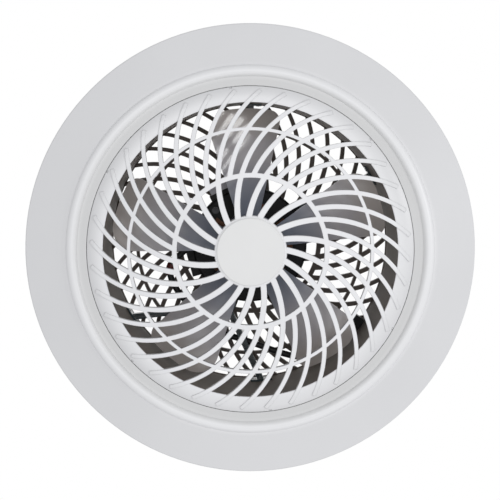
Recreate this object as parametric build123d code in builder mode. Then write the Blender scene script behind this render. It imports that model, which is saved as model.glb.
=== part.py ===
"""Round wall exhaust fan with spiral guards, a duct, a five-blade impeller and a motor."""
from build123d import *
import math
import os

os.makedirs("parts", exist_ok=True)

# The fan's axis is Y, the front faces -Y and Z is up. The wall plane is Y = 0.
# Sizes are in millimetres. Angles are anticlockwise from +X as seen from the front.

# Duct and its fits
duct_bore_r = 154.0
duct_wall = 2.8
duct_end_y = 112.8
slip_gap = 0.2
duct_r = duct_bore_r + duct_wall
duct_lip_t = 2.0
duct_lip_w = 3.4
duct_lip_r = duct_r + duct_lip_w

# Front guard
aperture_r = duct_bore_r - 1.0
guard_band_w = 16.6
guard_r = aperture_r + guard_band_w
guard_face_y = -11.0
dome_rise = 15.5
rib_depth = 6.0
rib_lift = 1.0
rib_count = 20
rib_arc_r = 113.3
rib_arc_offset = 110.3
rib_turn = -46.0
rib_hub_w = 6.2
rib_rim_w = 4.0
outer_ring_r = 125.8
outer_ring_w = 3.5
inner_ring_r = 78.4
inner_ring_w = 5.0
guard_hub_r = 37.4
guard_hub_depth = 6.0
band_t = 2.4
rim_t = 1.8
catch_angles = (43.5, 97.5, 151.5, 223.5, 277.5, 331.5)
catch_w = 8.0
catch_reach = 1.3
catch_t = 1.6
catch_gap = 0.2
notch_w = 2.6

# Hub cap
cap_r = 35.1
cap_t = 2.4
cap_spigot_r = 28.8
cap_spigot_t = 1.8
cap_spigot_l = 3.6

# Frame
flange_r = 234.0
flange_edge = 3.0
frame_t = 2.3
ledge_t = 4.0
seat_gap = 0.6
seat_r = guard_r + seat_gap
recess_w = 9.2
bead_w = 12.1
bead_crest = 6.2
bead_h = 4.6
bead_inner_r = seat_r + recess_w
bead_crest_r = bead_inner_r + bead_crest
bead_outer_r = bead_inner_r + bead_w
bead_foot_y = -9.0
seat_lip_y = -8.2
spigot_bore_r = duct_r + slip_gap
spigot_t = 2.4
spigot_r = spigot_bore_r + spigot_t
spigot_l = 12.0
foot_ring_w = 4.0
web_count = 24
web_t = 1.6
wall_screw_r = spigot_r + 4.4
wall_screw_hole_r = 2.3
wall_screw_count = 4
wall_screw_turn = 70.5

# Screws between the duct and the frame
lip_screw_r = duct_r + 4.0
lip_screw_count = 4
lip_screw_turn = 25.5
lip_screw_shank_r = 1.5
lip_screw_head_r = 2.7
lip_screw_head_t = 1.7
lip_screw_l = 5.2
lip_ear_r = 4.2
screw_play = 0.2

# Rear guard
rear_rise = 7.0
rear_turn = 13.0
rear_skirt_t = 1.6
rear_skirt_l = 10.0
rear_skirt_r = duct_r + slip_gap + rear_skirt_t
rear_face_y = duct_end_y + band_t
rear_screw_count = 6
rear_screw_turn = 15.0
rear_screw_y = duct_end_y - 4.6
rear_screw_shank_r = 1.4
rear_screw_head_r = 2.6
rear_screw_head_t = 1.2

# Shaft and impeller
shaft_r = 5.0
shaft_front_y = 9.5
shaft_rear_y = 107.0
hub_r = 36.0
hub_wall = 2.6
hub_front_y = 17.0
hub_rear_y = 61.0
hub_face_t = 4.0
hub_boss_r = 10.0
hub_boss_rear_y = 60.0
hub_web_count = 5
hub_web_t = 2.0
blade_count = 5
blade_turn = 21.3
blade_tip_r = 148.0
blade_mid_y = 44.0
blade_t = 2.6
blade_camber = 3.0
blade_root_half = 20.5
blade_tip_half = 16.4
blade_lead_round = 24.0
blade_trail_round = 12.0
nut_across_r = 12.0
nut_l = 10.0
pin_r = 1.5
pin_l = 20.0
pin_y = 58.0

# Motor
motor_r = 62.0
motor_front_y = 66.0
stator_front_y = 77.0
stator_rear_y = 97.0
motor_rear_y = 108.0
shield_t = 3.0
shield_rim_t = 5.0
stator_r = 60.0
rotor_r = 30.0
air_gap = 0.6
slot_count = 12
slot_in_r = 36.0
slot_out_r = 47.0
slot_w = 9.0
winding_in_r = 34.0
winding_out_r = 48.4
winding_l = 5.5
bearing_r = 8.0
bearing_play = 0.03
bearing_l = 10.0
front_bearing_y = 63.2
rear_bearing_y = 98.8
boss_r = 13.0
spacer_r = 8.6
spacer_gap = 0.2
vent_count = 10
vent_w = 6.0
vent_in_r = 22.0
vent_out_r = 47.0
through_r = 53.2
through_count = 4
through_turn = 45.0
through_shank_r = 2.0
through_head_r = 3.8
through_head_t = 2.6
column_r = 4.4

# Motor lugs and support arms
lug_front_y = 98.0
lug_t = 4.5
lug_w = 20.0
lug_screw_r = 73.7
lug_screw_shank_r = 2.4
lug_screw_head_r = 4.0
lug_screw_head_t = 2.8
low_lug_turn = 250.6
low_lug_hole_r = 81.5
low_lug_hole_turn = 252.5
right_lug_turn = 30.0
top_lug_turn = 90.0
foot_a_turn = 275.4
foot_b_turn = 212.6
plate_t = 1.8
plate_r = 9.4
arm_w = 6.6
arm_depth = 10.0
arm_t = 1.5
foot_t = 2.2
foot_half = 4.4
foot_front_y = 84.0
foot_rear_y = 100.0
foot_screw_turn = 2.9
foot_screw_y = 92.0
foot_screw_shank_r = 1.9
foot_screw_head_r = 2.8
foot_screw_head_t = 2.0

# Boxes on the motor
box_turn = 117.0
box_w = 32.0
box_front_y = 73.0
box_rear_y = 101.0
box_out_r = 66.6
capacitor_w = 27.0
capacitor_t = 10.5
capacitor_front_y = 75.0
capacitor_rear_y = 99.0
lead_box_turn = 196.0
lead_box_w = 36.0
lead_box_front_y = 80.0
lead_box_rear_y = 108.0
lead_box_out_r = 70.0

# Supply lead
lead_r = 3.5
lead_y = 102.2
lead_wall_r = duct_bore_r - lead_r - 0.8
sleeve_r = 4.7
clip_w = 9.0
clip_l = 10.0
block_turn = 322.0
block_w = 24.0
block_front_y = 84.6
block_rear_y = 106.4
block_in_r = 141.0
block_screw_r = 1.6
grommet_hole_r = 4.6
grommet_bore_r = 3.1
grommet_flange_r = 6.6
grommet_flange_t = 1.5


def polar(r, degrees):
    """Return the point at a radius and an angle in the plane seen from the front."""
    turn = math.radians(degrees)
    return (r * math.cos(turn), r * math.sin(turn))


def turned(shape, degrees):
    """Return the shape turned about the fan's axis."""
    return Rot(0, -degrees, 0) * shape


def rib_angle(r):
    """Return the angle of a rib's centre line at radius r."""
    reach = (r * r + rib_arc_offset * rib_arc_offset - rib_arc_r * rib_arc_r)
    return rib_turn + math.degrees(math.acos(reach / (2 * r * rib_arc_offset)))


def rib_width(r):
    """Return the width of a rib at radius r."""
    step = (r - guard_hub_r) / (guard_r - guard_hub_r)
    return rib_hub_w + step * (rib_rim_w - rib_hub_w)


def rib_edge(start_r, end_r, side):
    """Return three points along one long edge of a rib."""
    centre = Vector(*polar(rib_arc_offset, rib_turn))
    points = []
    for r in (start_r, (start_r + end_r) / 2, end_r):
        middle = Vector(*polar(r, rib_angle(r)))
        points.append(middle + (middle - centre).normalized() * side * rib_width(r) / 2)
    return points


def rib_sketch(start_r, end_r):
    """Return the plan of one curved rib."""
    left = rib_edge(start_r, end_r, 1)
    right = rib_edge(start_r, end_r, -1)
    with BuildSketch() as rib:
        with BuildLine():
            ThreePointArc(*left)
            ThreePointArc(*right)
            Line(left[0], right[0])
            Line(left[2], right[2])
        make_face()
    return rib.sketch


def dome_y(r, rise):
    """Return how far a guard's dome stands above its face at radius r."""
    return rib_lift + rise * (1 - (r / aperture_r) ** 2)


def lattice(rise):
    """Return a guard's ribs and rings, with the guard's face at Y = 0 and its front to -Y."""
    rib_end_r = guard_r - 4.0
    main_rib = rib_sketch(guard_hub_r - 1.2, rib_end_r)
    extra_rib = rib_sketch(inner_ring_r, rib_end_r)
    mid_r = aperture_r / 2
    with BuildPart() as bars:
        with BuildSketch(Plane.XZ):
            with PolarLocations(0, rib_count):
                add(main_rib)
            with PolarLocations(0, rib_count, start_angle=180 / rib_count):
                add(extra_rib)
            for ring_r, ring_w in ((outer_ring_r, outer_ring_w), (inner_ring_r, inner_ring_w)):
                with BuildSketch(mode=Mode.PRIVATE) as ring:
                    Circle(ring_r + ring_w / 2)
                    Circle(ring_r - ring_w / 2, mode=Mode.SUBTRACT)
                add(ring.sketch)
        extrude(amount=rise + 40, both=True)
        with BuildSketch(Plane.XY):
            with BuildLine():
                ThreePointArc(
                    (0, -dome_y(0, rise)),
                    (mid_r, -dome_y(mid_r, rise)),
                    (aperture_r, -rib_lift),
                )
                Polyline(
                    (aperture_r, -rib_lift),
                    (guard_r - 8.0, 0.4 - rib_lift),
                    (guard_r - 3.0, 1.6 - rib_lift),
                    (guard_r - 3.0, band_t - 0.4),
                    (aperture_r + 0.3, band_t - 0.4),
                    (aperture_r + 0.3, rib_depth - rib_lift),
                    (mid_r, rib_depth - dome_y(mid_r, rise)),
                    (0, rib_depth - dome_y(0, rise)),
                    (0, -dome_y(0, rise)),
                )
            make_face()
        revolve(axis=Axis.Y, mode=Mode.INTERSECT)
    return bars.part


def guard_hub(rise):
    """Return the cup at a guard's centre that takes the cap's spigot."""
    top = -dome_y(guard_hub_r, rise)
    with BuildPart() as cup:
        with BuildSketch(Plane.XY):
            Polygon(
                (cap_spigot_r + 0.1, top),
                (guard_hub_r - 0.8, top),
                (guard_hub_r, top + 0.8),
                (guard_hub_r, top + guard_hub_depth),
                (0, top + guard_hub_depth),
                (0, top + guard_hub_depth - 2.0),
                (cap_spigot_r + 0.1, top + guard_hub_depth - 2.0),
                align=None,
            )
        revolve(axis=Axis.Y)
    return cup.part


# Front frame
with BuildPart() as front_frame:
    with BuildSketch(Plane.XY):
        with BuildLine():
            Polyline(
                (flange_r, 0),
                (flange_r, 1.0 - flange_edge),
                (flange_r - 1.0, -flange_edge),
                (bead_outer_r, bead_foot_y),
            )
            ThreePointArc(
                (bead_outer_r, bead_foot_y),
                (bead_crest_r, bead_foot_y - bead_h),
                (bead_inner_r, bead_foot_y),
            )
            Polyline(
                (bead_inner_r, bead_foot_y),
                (seat_r, seat_lip_y),
                (seat_r, -ledge_t),
                (spigot_bore_r, -ledge_t),
                (spigot_bore_r, spigot_l),
                (spigot_r, spigot_l),
                (spigot_r, 0),
                (seat_r + foot_ring_w, 0),
                (seat_r + foot_ring_w, seat_lip_y + frame_t + 0.4),
                (bead_inner_r + 1.4, bead_foot_y + frame_t),
                (bead_crest_r, bead_foot_y - bead_h + frame_t),
                (bead_outer_r - 1.0, bead_foot_y + frame_t),
                (flange_r - foot_ring_w, frame_t - flange_edge - 0.4),
                (flange_r - foot_ring_w, 0),
                (flange_r, 0),
            )
        make_face()
    revolve(axis=Axis.Y)
    with BuildPart(mode=Mode.PRIVATE) as web:
        with BuildSketch(Plane.XY):
            Polygon(
                (seat_r + 1.0, 0),
                (flange_r - 1.0, 0),
                (flange_r - foot_ring_w, -flange_edge + 0.8),
                (bead_outer_r - 1.0, bead_foot_y + 1.0),
                (bead_inner_r + 1.4, bead_foot_y + 1.0),
                (seat_r + 1.0, seat_lip_y + 1.0),
                align=None,
            )
        extrude(amount=web_t / 2, both=True)
    for number in range(web_count):
        add(turned(web.part, number * 360 / web_count))
    with BuildSketch(Plane.XZ):
        with PolarLocations(wall_screw_r, wall_screw_count, start_angle=wall_screw_turn):
            Circle(wall_screw_hole_r)
    extrude(amount=ledge_t, mode=Mode.SUBTRACT)
    with BuildSketch(Plane.XZ.offset(ledge_t)):
        with PolarLocations(lip_screw_r, lip_screw_count, start_angle=lip_screw_turn):
            Circle(lip_screw_shank_r)
    extrude(amount=duct_lip_t - lip_screw_l, mode=Mode.SUBTRACT)
    with BuildPart(mode=Mode.PRIVATE) as pocket:
        with Locations((seat_r, -ledge_t - 1.5, 0)):
            Box(
                2 * (catch_reach - seat_gap + catch_gap),
                catch_t + 2 * catch_gap,
                catch_w + 2 * catch_gap,
            )
    for angle in catch_angles:
        add(turned(pocket.part, angle), mode=Mode.SUBTRACT)
front_frame.part.label = "front_frame"
export_step(front_frame.part, "parts/front_frame.step")

# Duct
lug_angles = (low_lug_turn, right_lug_turn, top_lug_turn)
foot_angles = (foot_a_turn, foot_b_turn, right_lug_turn, top_lug_turn)
with BuildPart() as duct:
    with BuildSketch(Plane.XY):
        Polygon(
            (duct_bore_r, -ledge_t - duct_lip_t),
            (duct_lip_r, -ledge_t - duct_lip_t),
            (duct_lip_r, -ledge_t),
            (duct_r, -ledge_t),
            (duct_r, duct_end_y),
            (duct_bore_r, duct_end_y),
            align=None,
        )
    revolve(axis=Axis.Y)
    with BuildSketch(Plane.XZ.offset(ledge_t)):
        with PolarLocations(lip_screw_r, lip_screw_count, start_angle=lip_screw_turn):
            Circle(lip_ear_r)
        Circle(duct_r - 0.5, mode=Mode.SUBTRACT)
    extrude(amount=duct_lip_t)
    with BuildSketch(Plane.XZ.offset(ledge_t)):
        with PolarLocations(lip_screw_r, lip_screw_count, start_angle=lip_screw_turn):
            Circle(lip_screw_shank_r + screw_play)
    extrude(amount=duct_lip_t, mode=Mode.SUBTRACT)
    with BuildPart(mode=Mode.PRIVATE) as foot_drill:
        with BuildSketch(Plane.YZ.offset(duct_bore_r - 1.0)):
            with Locations((foot_screw_y, 0)):
                Circle(foot_screw_shank_r + screw_play)
        extrude(amount=duct_wall + 2.0)
    for angle in foot_angles:
        add(turned(foot_drill.part, angle - foot_screw_turn), mode=Mode.SUBTRACT)
        add(turned(foot_drill.part, angle + foot_screw_turn), mode=Mode.SUBTRACT)
    with BuildPart(mode=Mode.PRIVATE) as rear_drill:
        with BuildSketch(Plane.YZ.offset(duct_bore_r - 1.0)):
            with Locations((rear_screw_y, 0)):
                Circle(rear_screw_shank_r)
        extrude(amount=duct_wall + 2.0)
    for number in range(rear_screw_count):
        angle = rear_screw_turn + number * 360 / rear_screw_count
        add(turned(rear_drill.part, angle), mode=Mode.SUBTRACT)
    block_y = (block_front_y + block_rear_y) / 2
    with BuildPart(mode=Mode.PRIVATE) as grommet_drill:
        with BuildSketch(Plane.YZ.offset(duct_bore_r - 1.0)):
            with Locations((block_y, 0)):
                Circle(grommet_hole_r)
        extrude(amount=duct_wall + 2.0)
    add(turned(grommet_drill.part, block_turn), mode=Mode.SUBTRACT)
duct.part.label = "duct"
export_step(duct.part, "parts/duct.step")

# Screws that hold the duct in the frame
with BuildPart() as duct_screws:
    with BuildSketch(Plane.XZ.offset(ledge_t + duct_lip_t)):
        with PolarLocations(lip_screw_r, lip_screw_count, start_angle=lip_screw_turn):
            Circle(lip_screw_head_r)
    extrude(amount=lip_screw_head_t)
    with BuildSketch(Plane.XZ.offset(ledge_t + duct_lip_t)):
        with PolarLocations(lip_screw_r, lip_screw_count, start_angle=lip_screw_turn):
            Circle(lip_screw_shank_r)
    extrude(amount=-lip_screw_l)
    with BuildSketch(Plane.XZ.offset(ledge_t + duct_lip_t + lip_screw_head_t)):
        with PolarLocations(lip_screw_r, lip_screw_count, start_angle=lip_screw_turn):
            Rectangle(2.6, 0.7)
            Rectangle(0.7, 2.6)
    extrude(amount=-0.9, mode=Mode.SUBTRACT)
duct_screws.part.label = "duct_screws"
export_step(duct_screws.part, "parts/duct_screws.step")

# Front guard
with BuildPart() as front_guard:
    add(lattice(dome_rise))
    add(guard_hub(dome_rise))
    rim_foot = -guard_face_y - ledge_t
    with BuildSketch(Plane.XY):
        with BuildLine():
            ThreePointArc((aperture_r, 0), (guard_r - 7.0, 0.45), (guard_r, 2.8))
            Polyline(
                (guard_r, 2.8),
                (guard_r, rim_foot),
                (guard_r - rim_t, rim_foot),
                (guard_r - rim_t, band_t + 1.9),
                (guard_r - 7.0, band_t + 0.4),
                (aperture_r, band_t),
                (aperture_r, 0),
            )
        make_face()
    revolve(axis=Axis.Y)
    with BuildPart(mode=Mode.PRIVATE) as catch:
        with Locations((guard_r, rim_foot - 1.5, 0)):
            Box(2 * catch_reach, catch_t, catch_w)
    with BuildPart(mode=Mode.PRIVATE) as notch:
        with Locations((guard_r, 2.8, 0)):
            Box(3.0, 1.8, notch_w)
    for angle in catch_angles:
        add(turned(catch.part, angle))
        add(turned(notch.part, angle), mode=Mode.SUBTRACT)
front_guard.part.position = (0, guard_face_y, 0)
front_guard.part.label = "front_guard"
export_step(front_guard.part, "parts/front_guard.step")

# Hub cap
cap_back_y = guard_face_y - dome_y(guard_hub_r, dome_rise)
with BuildPart() as hub_cap:
    with BuildSketch(Plane.XY):
        Polygon(
            (0, cap_back_y - cap_t),
            (cap_r - 1.0, cap_back_y - cap_t),
            (cap_r, cap_back_y - cap_t + 0.9),
            (cap_r, cap_back_y),
            (cap_spigot_r, cap_back_y),
            (cap_spigot_r, cap_back_y + cap_spigot_l),
            (cap_spigot_r - cap_spigot_t, cap_back_y + cap_spigot_l),
            (cap_spigot_r - cap_spigot_t, cap_back_y - 0.6),
            (0, cap_back_y - 0.6),
            align=None,
        )
    revolve(axis=Axis.Y)
hub_cap.part.label = "hub_cap"
export_step(hub_cap.part, "parts/hub_cap.step")

# Rear guard
with BuildPart() as rear_guard:
    add(lattice(rear_rise))
    add(guard_hub(rear_rise))
    with BuildSketch(Plane.XY):
        Polygon(
            (aperture_r, 0),
            (rear_skirt_r - 1.0, 0),
            (rear_skirt_r, 1.0),
            (rear_skirt_r, band_t + rear_skirt_l),
            (duct_r + slip_gap, band_t + rear_skirt_l),
            (duct_r + slip_gap, band_t),
            (aperture_r, band_t),
            align=None,
        )
    revolve(axis=Axis.Y)
    with BuildSketch(Plane.XZ, mode=Mode.PRIVATE) as outside:
        Circle(guard_r + 20)
        Circle(rear_skirt_r, mode=Mode.SUBTRACT)
    extrude(outside.sketch, amount=rib_depth, both=True, mode=Mode.SUBTRACT)
    with BuildPart(mode=Mode.PRIVATE) as skirt_drill:
        with BuildSketch(Plane.YZ.offset(duct_r - 1.0)):
            with Locations((rear_face_y - rear_screw_y, 0)):
                Circle(rear_screw_shank_r + screw_play)
        extrude(amount=rear_skirt_t + 3.0)
    for number in range(rear_screw_count):
        angle = 180 + rear_turn - rear_screw_turn - number * 360 / rear_screw_count
        add(turned(skirt_drill.part, angle), mode=Mode.SUBTRACT)
rear_guard_part = Pos(0, rear_face_y, 0) * turned(Rot(0, 0, 180) * rear_guard.part, rear_turn)
rear_guard_part.label = "rear_guard"
export_step(rear_guard_part, "parts/rear_guard.step")

# Screws that hold the rear guard on the duct
with BuildPart() as rear_screw:
    with BuildSketch(Plane.YZ.offset(rear_skirt_r)):
        with Locations((rear_screw_y, 0)):
            Circle(rear_screw_head_r)
    extrude(amount=rear_screw_head_t)
    with BuildSketch(Plane.YZ.offset(duct_bore_r + 0.2)):
        with Locations((rear_screw_y, 0)):
            Circle(rear_screw_shank_r)
    extrude(amount=rear_skirt_r - duct_bore_r)
with BuildPart() as rear_guard_screws:
    for number in range(rear_screw_count):
        angle = rear_screw_turn + number * 360 / rear_screw_count
        add(turned(rear_screw.part, angle))
rear_guard_screws.part.label = "rear_guard_screws"
export_step(rear_guard_screws.part, "parts/rear_guard_screws.step")


def blade_section(r, half, slope):
    """Return one section of a blade, square to the blade's radial line."""
    with BuildSketch(Plane.YZ.offset(r)) as section:
        with BuildLine():
            edges = []
            for side in (-blade_t / 2, blade_t / 2):
                rear_end = (blade_mid_y + half * slope + side, -half)
                middle = (blade_mid_y - blade_camber + side, 0)
                front_end = (blade_mid_y - half * slope + side, half)
                ThreePointArc(rear_end, middle, front_end)
                edges.append((rear_end, front_end))
            Line(edges[0][0], edges[1][0])
            Line(edges[0][1], edges[1][1])
        make_face()
    return section.sketch


# Impeller
with BuildPart() as blade:
    add(blade_section(hub_r - 8.0, 18.0, 0.95))
    add(blade_section((hub_r + blade_tip_r) / 2, 36.0, 0.66))
    add(blade_section(blade_tip_r + 2.0, 54.0, 0.45))
    loft()
    with BuildSketch(Plane.XZ):
        with BuildLine():
            root_low = polar(hub_r - 4.0, -blade_root_half)
            root_high = polar(hub_r - 4.0, blade_root_half)
            tip_low = polar(blade_tip_r, -blade_tip_half)
            tip_high = polar(blade_tip_r, blade_tip_half)
            Line(root_low, tip_low)
            ThreePointArc(tip_low, (blade_tip_r, 0), tip_high)
            Line(tip_high, root_high)
            Line(root_high, root_low)
        make_face()
        fillet(vertices().sort_by(Axis.Y)[-1], radius=blade_lead_round)
        fillet(vertices().sort_by(Axis.Y)[0], radius=blade_trail_round)
    extrude(amount=-200, mode=Mode.INTERSECT)
with BuildPart() as impeller:
    with BuildSketch(Plane.XY):
        Polygon(
            (0, hub_front_y),
            (hub_r - 7.0, hub_front_y),
            (hub_r - 2.0, hub_front_y + 2.0),
            (hub_r, hub_front_y + 7.0),
            (hub_r, hub_rear_y),
            (0, hub_rear_y),
            align=None,
        )
    revolve(axis=Axis.Y)
    for number in range(blade_count):
        add(turned(blade.part, blade_turn + number * 360 / blade_count))
    with BuildSketch(Plane.XZ.offset(-hub_front_y - hub_face_t), mode=Mode.PRIVATE) as hollow:
        Circle(hub_r - hub_wall)
        Circle(hub_boss_r, mode=Mode.SUBTRACT)
        with PolarLocations(0, hub_web_count, start_angle=blade_turn):
            Rectangle(hub_r, hub_web_t, align=(Align.MIN, Align.CENTER), mode=Mode.SUBTRACT)
    extrude(hollow.sketch, amount=hub_front_y + hub_face_t - hub_rear_y, mode=Mode.SUBTRACT)
    with BuildSketch(Plane.XZ.offset(-hub_rear_y)):
        Circle(hub_boss_r + 1.0)
    extrude(amount=hub_rear_y - hub_boss_rear_y, mode=Mode.SUBTRACT)
    with BuildSketch(Plane.XZ.offset(-hub_boss_rear_y)):
        Rectangle(2 * hub_boss_r + 1.0, 2 * pin_r)
    extrude(amount=hub_boss_rear_y - pin_y + pin_r, mode=Mode.SUBTRACT)
    with BuildSketch(Plane.XZ):
        Circle(shaft_r)
    extrude(amount=-motor_front_y, mode=Mode.SUBTRACT)
impeller.part.label = "impeller"
export_step(impeller.part, "parts/impeller.step")

# Impeller nut
with BuildPart() as impeller_nut:
    with BuildSketch(Plane.XZ.offset(-hub_front_y)):
        RegularPolygon(nut_across_r, 6)
    extrude(amount=nut_l)
    with BuildSketch(Plane.XZ.offset(-hub_front_y)):
        Circle(shaft_r)
    extrude(amount=hub_front_y - shaft_front_y, mode=Mode.SUBTRACT)
impeller_nut.part.label = "impeller_nut"
export_step(impeller_nut.part, "parts/impeller_nut.step")

# Drive pin
with BuildPart() as drive_pin:
    with BuildSketch(Plane.YZ.offset(-pin_l / 2)):
        with Locations((pin_y, 0)):
            Circle(pin_r)
    extrude(amount=pin_l)
drive_pin.part.label = "drive_pin"
export_step(drive_pin.part, "parts/drive_pin.step")

# Motor shaft
with BuildPart() as motor_shaft:
    with BuildSketch(Plane.XZ.offset(-shaft_rear_y)):
        Circle(shaft_r)
    extrude(amount=shaft_rear_y - shaft_front_y)
    add(drive_pin.part, mode=Mode.SUBTRACT)
motor_shaft.part.label = "motor_shaft"
export_step(motor_shaft.part, "parts/motor_shaft.step")

# Rotor core
with BuildPart() as rotor_core:
    with BuildSketch(Plane.XZ.offset(-stator_rear_y)):
        Circle(rotor_r)
        Circle(shaft_r, mode=Mode.SUBTRACT)
    extrude(amount=stator_rear_y - stator_front_y)
rotor_core.part.label = "rotor_core"
export_step(rotor_core.part, "parts/rotor_core.step")

# Spacers between the rotor core and the bearings
front_spacer_y = front_bearing_y + bearing_l + spacer_gap
with BuildPart() as shaft_spacers:
    with BuildSketch(Plane.XZ.offset(-stator_front_y)):
        Circle(spacer_r)
        Circle(shaft_r, mode=Mode.SUBTRACT)
    extrude(amount=stator_front_y - front_spacer_y)
    with BuildSketch(Plane.XZ.offset(-rear_bearing_y + spacer_gap)):
        Circle(spacer_r)
        Circle(shaft_r, mode=Mode.SUBTRACT)
    extrude(amount=rear_bearing_y - spacer_gap - stator_rear_y)
shaft_spacers.part.label = "shaft_spacers"
export_step(shaft_spacers.part, "parts/shaft_spacers.step")

# Stator core
slot_mid_r = (slot_in_r + slot_out_r) / 2
slot_l = slot_out_r - slot_in_r
with BuildPart() as stator_core:
    with BuildSketch(Plane.XZ.offset(-stator_rear_y)):
        Circle(stator_r)
        Circle(rotor_r + air_gap, mode=Mode.SUBTRACT)
        with PolarLocations(slot_mid_r, slot_count):
            Rectangle(slot_l, slot_w, mode=Mode.SUBTRACT)
        with PolarLocations(through_r, through_count, start_angle=through_turn):
            Circle(through_shank_r + screw_play, mode=Mode.SUBTRACT)
    extrude(amount=stator_rear_y - stator_front_y)
stator_core.part.label = "stator_core"
export_step(stator_core.part, "parts/stator_core.step")

# Windings
with BuildPart() as windings:
    with BuildSketch(Plane.XZ.offset(-stator_rear_y)):
        with PolarLocations(slot_mid_r, slot_count):
            Rectangle(slot_l, slot_w)
    extrude(amount=stator_rear_y - stator_front_y)
    for end_y in (stator_front_y, stator_rear_y + winding_l):
        with BuildSketch(Plane.XZ.offset(-end_y)):
            Circle(winding_out_r)
            Circle(winding_in_r, mode=Mode.SUBTRACT)
        extrude(amount=winding_l)
windings.part.label = "windings"
export_step(windings.part, "parts/windings.step")

# Front end shield
with BuildPart() as front_end_shield:
    with BuildSketch(Plane.XY):
        Polygon(
            (bearing_r, front_bearing_y),
            (boss_r, front_bearing_y),
            (boss_r, motor_front_y),
            (motor_r - 2.0, motor_front_y),
            (motor_r, motor_front_y + 2.0),
            (motor_r, stator_front_y),
            (motor_r - shield_rim_t, stator_front_y),
            (motor_r - shield_rim_t, motor_front_y + shield_t),
            (boss_r, motor_front_y + shield_t),
            (boss_r, front_bearing_y + bearing_l),
            (bearing_r, front_bearing_y + bearing_l),
            align=None,
        )
    revolve(axis=Axis.Y)
    with BuildSketch(Plane.XZ.offset(-motor_front_y - shield_t)):
        with PolarLocations((vent_in_r + vent_out_r) / 2, vent_count):
            Rectangle(vent_out_r - vent_in_r, vent_w)
    extrude(amount=shield_t, mode=Mode.SUBTRACT)
    with BuildSketch(Plane.XZ.offset(-stator_front_y)):
        with PolarLocations(through_r, through_count, start_angle=through_turn):
            Circle(column_r)
    extrude(amount=stator_front_y - motor_front_y - shield_t)
    with BuildSketch(Plane.XZ.offset(-stator_front_y)):
        with PolarLocations(through_r, through_count, start_angle=through_turn):
            Circle(through_shank_r + screw_play)
    extrude(amount=stator_front_y - motor_front_y, mode=Mode.SUBTRACT)
front_end_shield.part.label = "front_end_shield"
export_step(front_end_shield.part, "parts/front_end_shield.step")

# Rear end shield with the mounting lugs
rear_bearing_end_y = rear_bearing_y + bearing_l
through_end_y = motor_rear_y - shield_t - 1.0
with BuildPart() as rear_end_shield:
    with BuildSketch(Plane.XY):
        Polygon(
            (bearing_r, rear_bearing_y),
            (boss_r, rear_bearing_y),
            (boss_r, motor_rear_y - shield_t),
            (motor_r - shield_rim_t, motor_rear_y - shield_t),
            (motor_r - shield_rim_t, stator_rear_y),
            (motor_r, stator_rear_y),
            (motor_r, motor_rear_y - 2.0),
            (motor_r - 2.0, motor_rear_y),
            (boss_r, motor_rear_y),
            (boss_r - 1.0, rear_bearing_end_y + 1.6),
            (0, rear_bearing_end_y + 1.6),
            (0, rear_bearing_end_y),
            (bearing_r, rear_bearing_end_y),
            align=None,
        )
    revolve(axis=Axis.Y)
    with BuildSketch(Plane.XZ.offset(-motor_rear_y)):
        with PolarLocations((vent_in_r + vent_out_r) / 2, vent_count):
            Rectangle(vent_out_r - vent_in_r, vent_w)
    extrude(amount=shield_t, mode=Mode.SUBTRACT)
    with BuildSketch(Plane.XZ.offset(-motor_rear_y + shield_t)):
        with PolarLocations(through_r, through_count, start_angle=through_turn):
            Circle(column_r)
    extrude(amount=motor_rear_y - shield_t - stator_rear_y)
    with BuildSketch(Plane.XZ.offset(-through_end_y)):
        with PolarLocations(through_r, through_count, start_angle=through_turn):
            Circle(through_shank_r)
    extrude(amount=through_end_y - stator_rear_y, mode=Mode.SUBTRACT)
    with BuildSketch(Plane.XZ.offset(-lug_front_y - lug_t)):
        lug_l = lug_screw_r - motor_r + shield_rim_t - 1.0
        for angle in lug_angles:
            with PolarLocations(lug_screw_r, 1, start_angle=angle):
                Rectangle(lug_l, lug_w, align=(Align.MAX, Align.CENTER))
                Circle(lug_w / 2)
        with Locations(polar(low_lug_hole_r, low_lug_hole_turn)):
            Circle(6.5)
        for angle in lug_angles:
            with Locations(polar(lug_screw_r, angle)):
                Circle(lug_screw_shank_r, mode=Mode.SUBTRACT)
        with Locations(polar(low_lug_hole_r, low_lug_hole_turn)):
            Circle(2.4, mode=Mode.SUBTRACT)
    extrude(amount=lug_t)
rear_end_shield.part.label = "rear_end_shield"
export_step(rear_end_shield.part, "parts/rear_end_shield.step")

# Sleeve bearings
for name, start_y in (("front_bearing", front_bearing_y), ("rear_bearing", rear_bearing_y)):
    with BuildPart() as bearing:
        with BuildSketch(Plane.XZ.offset(-start_y - bearing_l)):
            Circle(bearing_r)
            Circle(shaft_r + bearing_play, mode=Mode.SUBTRACT)
        extrude(amount=bearing_l)
    bearing.part.label = name
    export_step(bearing.part, "parts/" + name + ".step")

# Screws through the motor
with BuildPart() as motor_screws:
    with BuildSketch(Plane.XZ.offset(-motor_front_y)):
        with PolarLocations(through_r, through_count, start_angle=through_turn):
            Circle(through_head_r)
    extrude(amount=through_head_t)
    with BuildSketch(Plane.XZ.offset(-motor_front_y)):
        with PolarLocations(through_r, through_count, start_angle=through_turn):
            Circle(through_shank_r)
    extrude(amount=motor_front_y - through_end_y)
motor_screws.part.label = "motor_screws"
export_step(motor_screws.part, "parts/motor_screws.step")


def block_on_motor(angle, in_r, out_r, width, front_y, rear_y):
    """Return a box whose inner face follows the motor."""
    with BuildPart() as block:
        with BuildSketch(Plane.XZ.offset(-rear_y)):
            Rectangle(out_r, width, align=(Align.MIN, Align.CENTER))
            Circle(in_r, mode=Mode.SUBTRACT)
        extrude(amount=rear_y - front_y)
    return turned(block.part, angle)


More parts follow.
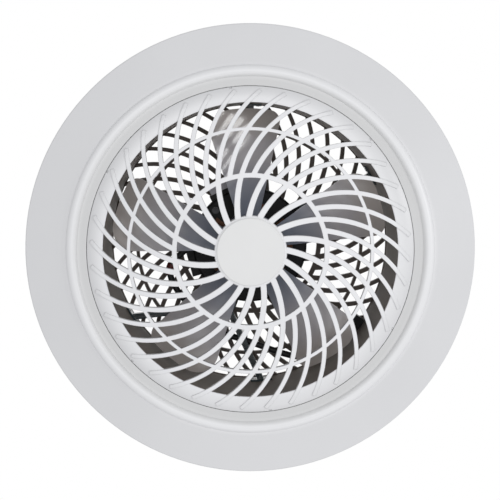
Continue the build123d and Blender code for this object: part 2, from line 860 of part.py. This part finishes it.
# Connection box and capacitor on the motor's upper left
connection_box = block_on_motor(
    box_turn, motor_r, box_out_r, box_w, box_front_y, box_rear_y
)
connection_box.label = "connection_box"
export_step(connection_box, "parts/connection_box.step")
with BuildPart() as capacitor:
    with Locations((box_out_r, (capacitor_front_y + capacitor_rear_y) / 2, 0)):
        Box(
            capacitor_t,
            capacitor_rear_y - capacitor_front_y,
            capacitor_w,
            align=(Align.MIN, Align.CENTER, Align.CENTER),
        )
    fillet(faces().sort_by(Axis.X)[-1].edges(), radius=1.5)
capacitor_part = turned(capacitor.part, box_turn)
capacitor_part.label = "capacitor"
export_step(capacitor_part, "parts/capacitor.step")

# Support arms
apex = Vector(*polar(lug_screw_r, low_lug_turn))


def support_arm(start, foot_angle):
    """Return one arm from a point on its lug to a foot on the duct's wall."""
    foot = Vector(*polar(duct_bore_r, foot_angle))
    away = (foot - start).normalized()
    begin = start + away * (plate_r - 1.5)
    reach = Plane(
        origin=(begin.X, lug_front_y, begin.Y),
        x_dir=(away.Y, 0, -away.X),
        z_dir=(away.X, 0, away.Y),
    )
    with BuildPart() as arm:
        with BuildSketch(reach):
            Rectangle(arm_w, arm_depth, align=(Align.CENTER, Align.MAX))
            with Locations((0, -arm_t)):
                Rectangle(
                    arm_w - 2 * arm_t,
                    arm_depth,
                    align=(Align.CENTER, Align.MAX),
                    mode=Mode.SUBTRACT,
                )
        extrude(amount=(foot - begin).length + 10)
        with BuildSketch(Plane.XZ.offset(-motor_rear_y)):
            Circle(duct_bore_r - foot_t / 2)
        extrude(amount=motor_rear_y, mode=Mode.INTERSECT)
        with BuildPart(mode=Mode.PRIVATE) as pad:
            with BuildSketch(Plane.XY):
                with Locations((duct_bore_r, foot_front_y)):
                    Rectangle(
                        foot_t,
                        foot_rear_y - foot_front_y,
                        align=(Align.MAX, Align.MIN),
                    )
            revolve(axis=Axis.Y, revolution_arc=2 * foot_half)
            with BuildPart(mode=Mode.PRIVATE) as drill:
                with BuildSketch(Plane.YZ.offset(duct_bore_r - foot_t - 1.0)):
                    with Locations((foot_screw_y, 0)):
                        Circle(foot_screw_shank_r)
                extrude(amount=foot_t + 2.0)
            add(turned(drill.part, -foot_half + foot_screw_turn), mode=Mode.SUBTRACT)
            add(turned(drill.part, -foot_half - foot_screw_turn), mode=Mode.SUBTRACT)
        add(turned(pad.part, foot_angle + foot_half))
    return arm.part


def arm_plate(start):
    """Return the round plate that lies on a lug, with its screw hole."""
    with BuildPart() as plate:
        with BuildSketch(Plane.XZ.offset(-lug_front_y)):
            with Locations((start.X, start.Y)):
                Circle(plate_r)
                Circle(lug_screw_shank_r + screw_play, mode=Mode.SUBTRACT)
        extrude(amount=plate_t)
    return plate.part


with BuildPart() as twin_arm:
    add(arm_plate(apex))
    add(support_arm(apex, foot_a_turn))
    add(support_arm(apex, foot_b_turn))
twin_arm.part.label = "twin_arm"
export_step(twin_arm.part, "parts/twin_arm.step")
for name, angle in (("right_arm", right_lug_turn), ("top_arm", top_lug_turn)):
    lug_point = Vector(*polar(lug_screw_r, angle))
    with BuildPart() as single_arm:
        add(arm_plate(lug_point))
        add(support_arm(lug_point, angle))
    single_arm.part.label = name
    export_step(single_arm.part, "parts/" + name + ".step")

# Screws that hold the arms on the lugs
with BuildPart() as lug_screws:
    for angle in lug_angles:
        with BuildSketch(Plane.XZ.offset(plate_t - lug_front_y)):
            with Locations(polar(lug_screw_r, angle)):
                Circle(lug_screw_head_r)
        extrude(amount=lug_screw_head_t)
        with BuildSketch(Plane.XZ.offset(plate_t - lug_front_y)):
            with Locations(polar(lug_screw_r, angle)):
                Circle(lug_screw_shank_r)
        extrude(amount=-plate_t - lug_t)
lug_screws.part.label = "lug_screws"
export_step(lug_screws.part, "parts/lug_screws.step")

# Screws that hold the feet on the duct
with BuildPart() as foot_screw:
    with BuildSketch(Plane.YZ.offset(duct_r)):
        with Locations((foot_screw_y, 0)):
            Circle(foot_screw_head_r)
    extrude(amount=foot_screw_head_t)
    with BuildSketch(Plane.YZ.offset(duct_bore_r - foot_t - 0.5)):
        with Locations((foot_screw_y, 0)):
            Circle(foot_screw_shank_r)
    extrude(amount=duct_wall + foot_t + 0.5)
with BuildPart() as foot_screws:
    for angle in foot_angles:
        add(turned(foot_screw.part, angle - foot_screw_turn))
        add(turned(foot_screw.part, angle + foot_screw_turn))
foot_screws.part.label = "foot_screws"
export_step(foot_screws.part, "parts/foot_screws.step")

# Supply lead, from the lead box under the motor to the terminal block on the duct's wall
foot_a = Vector(*polar(duct_bore_r, foot_a_turn))
foot_b = Vector(*polar(duct_bore_r, foot_b_turn))
cross_a = apex + (foot_a - apex).normalized() * 44.0
cross_b = apex + (foot_b - apex).normalized() * 39.0
lead_points = [
    (-65.5, -3.5),
    (-79.0, -15.5),
    (-88.5, -30.0),
    (-84.5, -47.0),
    (cross_b.X, cross_b.Y),
    (-34.4, -99.3),
    (cross_a.X, cross_a.Y),
    (46.6, -126.6),
    polar(lead_wall_r, 302.0),
    polar(lead_wall_r, 310.0),
    polar(lead_wall_r, block_turn - 3.9),
]
with BuildLine() as lead_path:
    Spline(*[(x, lead_y, z) for x, z in lead_points])
lead_edge = lead_path.edges()[0]
lead_plane = Plane(origin=lead_edge @ 0, z_dir=lead_edge % 0)
with BuildPart() as supply_lead:
    with BuildSketch(lead_plane):
        Circle(lead_r)
    sweep(path=lead_edge)
supply_lead.part.label = "supply_lead"
export_step(supply_lead.part, "parts/supply_lead.step")

# Splice sleeve on the lead
sleeve_edge = lead_edge.trim(0.105, 0.145)
with BuildPart() as splice_sleeve:
    with BuildSketch(Plane(origin=sleeve_edge @ 0, z_dir=sleeve_edge % 0)):
        Circle(sleeve_r)
    sweep(path=sleeve_edge)
    add(supply_lead.part, mode=Mode.SUBTRACT)
splice_sleeve.part.label = "splice_sleeve"
export_step(splice_sleeve.part, "parts/splice_sleeve.step")

# Lead box on the motor's left
with BuildPart() as lead_box:
    add(
        block_on_motor(
            lead_box_turn,
            motor_r,
            lead_box_out_r,
            lead_box_w,
            lead_box_front_y,
            lead_box_rear_y,
        )
    )
    add(supply_lead.part, mode=Mode.SUBTRACT)
lead_box.part.label = "lead_box"
export_step(lead_box.part, "parts/lead_box.step")

# Lead clips on the two arms
with BuildPart() as lead_clips:
    for point in (cross_a, cross_b):
        with Locations((point.X, lug_front_y, point.Y)):
            Box(
                clip_w,
                2 * (lead_y - lug_front_y) + 1.2,
                clip_l,
                align=(Align.CENTER, Align.MIN, Align.CENTER),
            )
    add(supply_lead.part, mode=Mode.SUBTRACT)
lead_clips.part.label = "lead_clips"
export_step(lead_clips.part, "parts/lead_clips.step")

# Terminal block on the duct's wall
with BuildPart() as terminal_block_body:
    with BuildSketch(Plane.XZ.offset(-block_rear_y)):
        Circle(duct_bore_r)
        with Locations((block_in_r, 0)):
            Rectangle(
                duct_r - block_in_r,
                block_w,
                align=(Align.MIN, Align.CENTER),
                mode=Mode.INTERSECT,
            )
    extrude(amount=block_rear_y - block_front_y)
    with BuildSketch(Plane.YZ.offset(block_in_r)):
        for row in (-1, 1):
            for column in (-1, 1):
                with Locations((block_y + row * 6.0, column * 6.0)):
                    Circle(block_screw_r)
    extrude(amount=6.0, mode=Mode.SUBTRACT)
with BuildPart() as terminal_block:
    add(turned(terminal_block_body.part, block_turn))
    add(supply_lead.part, mode=Mode.SUBTRACT)
terminal_block.part.label = "terminal_block"
export_step(terminal_block.part, "parts/terminal_block.step")

# Terminal screws
with BuildPart() as terminal_screw_set:
    with BuildSketch(Plane.YZ.offset(block_in_r - 0.8)):
        for row in (-1, 1):
            for column in (-1, 1):
                with Locations((block_y + row * 6.0, column * 6.0)):
                    Circle(block_screw_r)
    extrude(amount=6.8)
terminal_screws = turned(terminal_screw_set.part, block_turn)
terminal_screws.label = "terminal_screws"
export_step(terminal_screws, "parts/terminal_screws.step")

# Grommet in the duct's wall behind the terminal block
with BuildPart() as grommet:
    with BuildSketch(Plane.YZ.offset(duct_bore_r)):
        with Locations((block_y, 0)):
            Circle(grommet_hole_r)
    extrude(amount=duct_wall + grommet_flange_t)
    with BuildSketch(Plane.YZ.offset(duct_bore_r)):
        with Locations((block_y, 0)):
            Circle(grommet_flange_r)
    extrude(amount=duct_wall + grommet_flange_t)
    with BuildSketch(Plane.YZ.offset(duct_bore_r - 1.0)):
        with Locations((block_y, 0)):
            Circle(grommet_bore_r)
    extrude(amount=duct_wall + grommet_flange_t + 2.0, mode=Mode.SUBTRACT)
lead_grommet = turned(grommet.part, block_turn)
with BuildPart() as lead_grommet_fit:
    add(lead_grommet)
    add(duct.part, mode=Mode.SUBTRACT)
    with BuildSketch(Plane.XZ.offset(-motor_rear_y)):
        Circle(duct_bore_r)
    extrude(amount=motor_rear_y, mode=Mode.SUBTRACT)
lead_grommet_fit.part.label = "lead_grommet"
export_step(lead_grommet_fit.part, "parts/lead_grommet.step")
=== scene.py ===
"""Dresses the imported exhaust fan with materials, lights and the camera."""
import math

import bpy
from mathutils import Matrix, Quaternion, Vector

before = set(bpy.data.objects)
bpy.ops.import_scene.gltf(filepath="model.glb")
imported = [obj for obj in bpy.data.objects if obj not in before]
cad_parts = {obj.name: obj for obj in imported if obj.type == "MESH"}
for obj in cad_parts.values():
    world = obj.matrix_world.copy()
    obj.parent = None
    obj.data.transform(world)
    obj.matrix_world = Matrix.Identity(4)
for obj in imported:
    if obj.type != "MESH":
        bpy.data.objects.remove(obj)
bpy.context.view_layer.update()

MM = 0.001
PICTURE_PX = 500
SENSOR_MM = 36.0
MIX_A, MIX_B, MIX_RESULT = 6, 7, 2
FIRST_SHADER, SECOND_SHADER = 1, 2
REACH_LABEL = "share of the widest radius"

# The fan in mm: the guard's aperture, how far forward its edge is, and the reach of the painted
# shade and highlight
aperture_r = 153.0
aperture_y = -11.0
widest_r = 250.0

# The camera in mm, above the fan's axis and a little to its left, with its roll in degrees
camera_back = 1411.0
camera_up = 113.0
camera_left = 15.8
look_at = (-0.5, 0.0, -0.1)
camera_roll = 0.5
far_clip_m = 20.0
aperture_px = 147.9

# The surfaces
drift_low = 0.3
drift_high = 0.7
drift_detail = 4.0
grain_detail = 2.0
grain_depth = 0.4
smoothest = 0.02
edge_samples = 6
moulding = {"rough": 0.34, "scale": 9.0}
metal_scale = 160.0

# The painted shade on the sides of the ribs: how far the normal leans, and where it fades out at
# the aperture
lean_dark = 0.5
lean_plain = 0.97
fade_inside = 5.0
fade_outside = 1.0
rib_side_shade = 0.5

# The even light from all round
ambient = 0.625
ambient_colour = (0.97, 0.98, 1.0, 1.0)
backdrop = 1.0


def place_camera():
    """Put the camera so that the aperture is aperture_px in radius in the picture."""
    place = Vector((-camera_left, -camera_back, camera_up)) * MM
    target = Vector(look_at) * MM
    to_aperture = (Vector((0, aperture_y * MM, 0)) - place).length
    data = bpy.data.cameras.new("photo_camera")
    data.sensor_width = SENSOR_MM
    data.lens = aperture_px / (aperture_r * MM) * to_aperture / PICTURE_PX * SENSOR_MM
    data.clip_end = far_clip_m
    camera = bpy.data.objects.new("photo_camera", data)
    camera.location = place
    level = (target - place).to_track_quat("-Z", "Y")
    roll = Quaternion((0, 0, 1), math.radians(camera_roll))
    camera.rotation_euler = (level @ roll).to_euler()
    bpy.context.collection.objects.link(camera)
    bpy.context.scene.camera = camera


def plastic(name, low, high, rough=0.4, rough_spread=0.06, scale=60.0, grain=900.0,
            bump=0.04, coat=0.0, coat_rough=0.1, metallic=0.0, specular=0.5, edge=0.0):
    """Make a surface whose colour drifts between two values, with fine grain in its bump.

    Metals use it too, with metallic. edge is the radius in mm that rounds the look of its edges.
    """
    made = bpy.data.materials.new(name)
    made.use_nodes = True
    tree = made.node_tree
    shader = tree.nodes["Principled BSDF"]
    where = tree.nodes.new("ShaderNodeTexCoord")
    drift = tree.nodes.new("ShaderNodeTexNoise")
    drift.inputs["Scale"].default_value = scale
    drift.inputs["Detail"].default_value = drift_detail
    tree.links.new(where.outputs["Object"], drift.inputs["Vector"])
    ramp = tree.nodes.new("ShaderNodeValToRGB")
    first, last = ramp.color_ramp.elements
    first.position, first.color = drift_low, (*low, 1.0)
    last.position, last.color = drift_high, (*high, 1.0)
    tree.links.new(drift.outputs["Fac"], ramp.inputs["Fac"])
    tree.links.new(ramp.outputs["Color"], shader.inputs["Base Color"])
    spread = tree.nodes.new("ShaderNodeMapRange")
    spread.inputs["To Min"].default_value = max(smoothest, rough - rough_spread)
    spread.inputs["To Max"].default_value = rough + rough_spread
    tree.links.new(drift.outputs["Fac"], spread.inputs["Value"])
    tree.links.new(spread.outputs["Result"], shader.inputs["Roughness"])
    fine = tree.nodes.new("ShaderNodeTexNoise")
    fine.inputs["Scale"].default_value = grain
    fine.inputs["Detail"].default_value = grain_detail
    tree.links.new(where.outputs["Object"], fine.inputs["Vector"])
    raised = tree.nodes.new("ShaderNodeBump")
    raised.inputs["Strength"].default_value = bump
    raised.inputs["Distance"].default_value = grain_depth * MM
    tree.links.new(fine.outputs["Fac"], raised.inputs["Height"])
    if edge:
        rounded = tree.nodes.new("ShaderNodeBevel")
        rounded.samples = edge_samples
        rounded.inputs["Radius"].default_value = edge * MM
        tree.links.new(rounded.outputs["Normal"], raised.inputs["Normal"])
    tree.links.new(raised.outputs["Normal"], shader.inputs["Normal"])
    shader.inputs["Metallic"].default_value = metallic
    shader.inputs["Specular IOR Level"].default_value = specular
    shader.inputs["Coat Weight"].default_value = coat
    shader.inputs["Coat Roughness"].default_value = coat_rough
    return made


def painted_light_by_radius(material, stops):
    """Multiply a material's colour by one that changes with the distance from the fan's axis, to
    paint shade and highlight into it.
    """
    tree = material.node_tree
    shader = tree.nodes["Principled BSDF"]
    plain = shader.inputs["Base Color"].links[0].from_socket
    where = tree.nodes.new("ShaderNodeTexCoord")
    split = tree.nodes.new("ShaderNodeSeparateXYZ")
    flat = tree.nodes.new("ShaderNodeCombineXYZ")
    length = tree.nodes.new("ShaderNodeVectorMath")
    length.operation = "LENGTH"
    share = tree.nodes.new("ShaderNodeMapRange")
    share.label = REACH_LABEL
    share.inputs["From Max"].default_value = widest_r * MM
    ramp = tree.nodes.new("ShaderNodeValToRGB")
    elements = ramp.color_ramp.elements
    for element, (r, colour) in zip(elements, (stops[0], stops[-1])):
        element.position = r / widest_r
        element.color = (*colour, 1.0)
    for r, colour in stops[1:-1]:
        elements.new(r / widest_r).color = (*colour, 1.0)
    product = tree.nodes.new("ShaderNodeMix")
    product.data_type = "RGBA"
    product.blend_type = "MULTIPLY"
    product.inputs["Factor"].default_value = 1.0
    tree.links.new(where.outputs["Object"], split.inputs["Vector"])
    tree.links.new(split.outputs["X"], flat.inputs["X"])
    tree.links.new(split.outputs["Z"], flat.inputs["Z"])
    tree.links.new(flat.outputs["Vector"], length.inputs[0])
    tree.links.new(length.outputs["Value"], share.inputs["Value"])
    tree.links.new(share.outputs["Result"], ramp.inputs["Fac"])
    tree.links.new(plain, product.inputs[MIX_A])
    tree.links.new(ramp.outputs["Color"], product.inputs[MIX_B])
    tree.links.new(product.outputs[MIX_RESULT], shader.inputs["Base Color"])


def painted_edge_shade(material, share):
    """Paint shade into a material where its rounded normal leans away from the axis, inside the
    aperture.

    The material has had an edge and painted_light_by_radius, because both are read here.
    """
    tree = material.node_tree
    shader = tree.nodes["Principled BSDF"]
    plain = shader.inputs["Base Color"].links[0].from_socket
    rounded = next(node for node in tree.nodes if node.bl_idname == "ShaderNodeBevel")
    reach = next(node for node in tree.nodes if node.label == REACH_LABEL)
    split = tree.nodes.new("ShaderNodeSeparateXYZ")
    facing = tree.nodes.new("ShaderNodeMath")
    facing.operation = "ABSOLUTE"
    lean = tree.nodes.new("ShaderNodeMapRange")
    lean.inputs["From Min"].default_value = lean_dark
    lean.inputs["From Max"].default_value = lean_plain
    fade = tree.nodes.new("ShaderNodeMapRange")
    fade.inputs["From Min"].default_value = (aperture_r - fade_inside) / widest_r
    fade.inputs["From Max"].default_value = (aperture_r + fade_outside) / widest_r
    fade.inputs["To Min"].default_value = share
    product = tree.nodes.new("ShaderNodeVectorMath")
    product.operation = "SCALE"
    tree.links.new(reach.outputs["Result"], fade.inputs["Value"])
    tree.links.new(fade.outputs["Result"], lean.inputs["To Min"])
    tree.links.new(rounded.outputs["Normal"], split.inputs["Vector"])
    tree.links.new(split.outputs["Y"], facing.inputs[0])
    tree.links.new(facing.outputs["Value"], lean.inputs["Value"])
    tree.links.new(plain, product.inputs[0])
    tree.links.new(lean.outputs["Result"], product.inputs["Scale"])
    tree.links.new(product.outputs["Vector"], shader.inputs["Base Color"])


def area(name, place, size, power):
    """Add a soft rectangular light, with its place and size in m, aimed at the frame's origin."""
    lamp = bpy.data.lights.new(name, "AREA")
    lamp.shape = "RECTANGLE"
    lamp.size, lamp.size_y = size
    lamp.energy = power
    made = bpy.data.objects.new(name, lamp)
    made.location = place
    made.rotation_euler = (-Vector(place)).to_track_quat("-Z", "Y").to_euler()
    bpy.context.collection.objects.link(made)


def light_all_round():
    """Light evenly from all sides, with a brighter white where camera and mirror rays end."""
    world = bpy.data.worlds.new("studio")
    bpy.context.scene.world = world
    world.use_nodes = True
    tree = world.node_tree
    tree.nodes.clear()
    out = tree.nodes.new("ShaderNodeOutputWorld")
    mix = tree.nodes.new("ShaderNodeMixShader")
    seen = tree.nodes.new("ShaderNodeBackground")
    seen.inputs["Color"].default_value = (1.0, 1.0, 1.0, 1.0)
    seen.inputs["Strength"].default_value = backdrop
    round_light = tree.nodes.new("ShaderNodeBackground")
    round_light.inputs["Color"].default_value = ambient_colour
    round_light.inputs["Strength"].default_value = ambient
    path = tree.nodes.new("ShaderNodeLightPath")
    direct = tree.nodes.new("ShaderNodeMath")
    direct.operation = "MAXIMUM"
    shown = tree.nodes.new("ShaderNodeMath")
    shown.operation = "MAXIMUM"
    tree.links.new(path.outputs["Is Camera Ray"], direct.inputs[0])
    tree.links.new(path.outputs["Is Glossy Ray"], direct.inputs[1])
    tree.links.new(direct.outputs["Value"], shown.inputs[0])
    tree.links.new(path.outputs["Is Transmission Ray"], shown.inputs[1])
    tree.links.new(shown.outputs["Value"], mix.inputs["Fac"])
    tree.links.new(round_light.outputs["Background"], mix.inputs[FIRST_SHADER])
    tree.links.new(seen.outputs["Background"], mix.inputs[SECOND_SHADER])
    tree.links.new(mix.outputs["Shader"], out.inputs["Surface"])


place_camera()

cap_white = plastic("cap_moulding", (0.775, 0.775, 0.77), (0.815, 0.815, 0.81), **moulding)
frame_white = plastic("frame_moulding", (0.97, 0.97, 0.97), (1.0, 1.0, 1.0), **moulding)
rib_white = plastic("guard_moulding", (0.96, 0.96, 0.96), (1.0, 1.0, 1.0), edge=1.2, **moulding)
duct_brown = plastic("duct_moulding", (0.25, 0.22, 0.195), (0.33, 0.29, 0.26), rough=0.6,
                     scale=14.0, specular=0.12)
guard_brown = plastic("rear_moulding", (0.13, 0.107, 0.092), (0.17, 0.142, 0.125), rough=0.45,
                      scale=20.0, specular=0.25, edge=0.8)
blade_grey = plastic("blade_moulding", (0.94, 0.94, 0.94), (1.0, 1.0, 1.0), rough=0.14,
                     rough_spread=0.03, scale=18.0, coat=0.3, coat_rough=0.03)
black_plastic = plastic("black_moulding", (0.008, 0.008, 0.009), (0.016, 0.016, 0.018),
                        rough=0.5, specular=0.25)
motor_black = plastic("motor_paint", (0.005, 0.005, 0.006), (0.012, 0.012, 0.014), rough=0.5,
                      specular=0.22, grain=500.0, bump=0.15)
core = plastic("core_steel", (0.05, 0.05, 0.055), (0.10, 0.10, 0.11), rough=0.45, metallic=0.8)
copper = plastic("winding_copper", (0.07, 0.028, 0.015), (0.13, 0.055, 0.028), metallic=0.6,
                 scale=220.0)
bronze = plastic("bronze", (0.42, 0.28, 0.11), (0.55, 0.38, 0.17), rough=0.35, metallic=0.9)
steel = plastic("zinc_steel", (0.48, 0.49, 0.50), (0.60, 0.61, 0.62), rough=0.3, metallic=0.95,
                scale=metal_scale)
dark_steel = plastic("black_screws", (0.03, 0.03, 0.033), (0.05, 0.05, 0.054), rough=0.35,
                     metallic=0.8, scale=metal_scale)
arm_black = plastic("arm_paint", (0.016, 0.034, 0.041), (0.026, 0.050, 0.060), rough=0.3,
                    coat=0.4)
case_grey = plastic("capacitor_case", (0.52, 0.51, 0.56), (0.60, 0.59, 0.64))
rubber = plastic("lead_sheath", (0.008, 0.008, 0.009), (0.015, 0.015, 0.016), rough=0.5,
                 grain=1500.0, bump=0.1)
red = plastic("sleeve_red", (0.09, 0.010, 0.008), (0.14, 0.018, 0.014), rough=0.45)

# Painted light, each stop a distance from the axis in mm and a colour. The blades turn darker and
# bluer towards the hub as painted shade, and the white mouldings get a painted highlight on the
# bead.
# Painted shade on the blades, darker and bluer towards the hub.
painted_light_by_radius(blade_grey, [
    (48.0, (0.28, 0.305, 0.37)),
    (67.0, (0.39, 0.40, 0.46)),
    (94.0, (0.635, 0.61, 0.63)),
    (113.0, (0.62, 0.595, 0.61)),
    (134.0, (0.635, 0.585, 0.555)),
])
# Painted highlight on the frame's bead, and painted shade towards the recess inside it.
painted_light_by_radius(frame_white, [
    (176.0, (0.66, 0.66, 0.66)),
    (180.0, (0.74, 0.74, 0.74)),
    (184.5, (0.85, 0.85, 0.86)),
    (189.0, (0.83, 0.83, 0.84)),
    (195.0, (0.73, 0.73, 0.74)),
])
# Painted shade on the guard's band, darker towards its outer edge.
painted_light_by_radius(rib_white, [
    (150.0, (0.865, 0.865, 0.88)),
    (158.0, (0.81, 0.81, 0.82)),
    (168.0, (0.72, 0.72, 0.73)),
])
# Painted shade on the sides of the guard's ribs.
painted_edge_shade(rib_white, rib_side_shade)

finish = {
    cap_white: ("hub_cap",),
    frame_white: ("front_frame",),
    rib_white: ("front_guard",),
    duct_brown: ("duct",),
    guard_brown: ("rear_guard",),
    blade_grey: ("impeller",),
    black_plastic: ("impeller_nut", "shaft_spacers", "connection_box", "lead_box", "lead_clips",
                    "terminal_block"),
    motor_black: ("front_end_shield", "rear_end_shield"),
    core: ("rotor_core", "stator_core"),
    copper: ("windings",),
    bronze: ("front_bearing", "rear_bearing", "terminal_screws"),
    steel: ("drive_pin", "motor_shaft", "duct_screws", "rear_guard_screws", "foot_screws"),
    dark_steel: ("motor_screws", "lug_screws"),
    arm_black: ("twin_arm", "right_arm", "top_arm"),
    case_grey: ("capacitor",),
    rubber: ("supply_lead", "lead_grommet"),
    red: ("splice_sleeve",),
}
for material, names in finish.items():
    for name in names:
        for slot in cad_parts[name].material_slots:
            slot.material = material

area("front_box", (0.0, -2.0, 0.3), (0.8, 0.8), 5.0)
area("key", (0.2, -1.8, -1.7), (1.6, 1.0), 6.5)
area("strip", (1.48, -1.2, 0.3), (0.7, 0.35), 6.5)
light_all_round()

bpy.context.scene.view_settings.view_transform = "Standard"
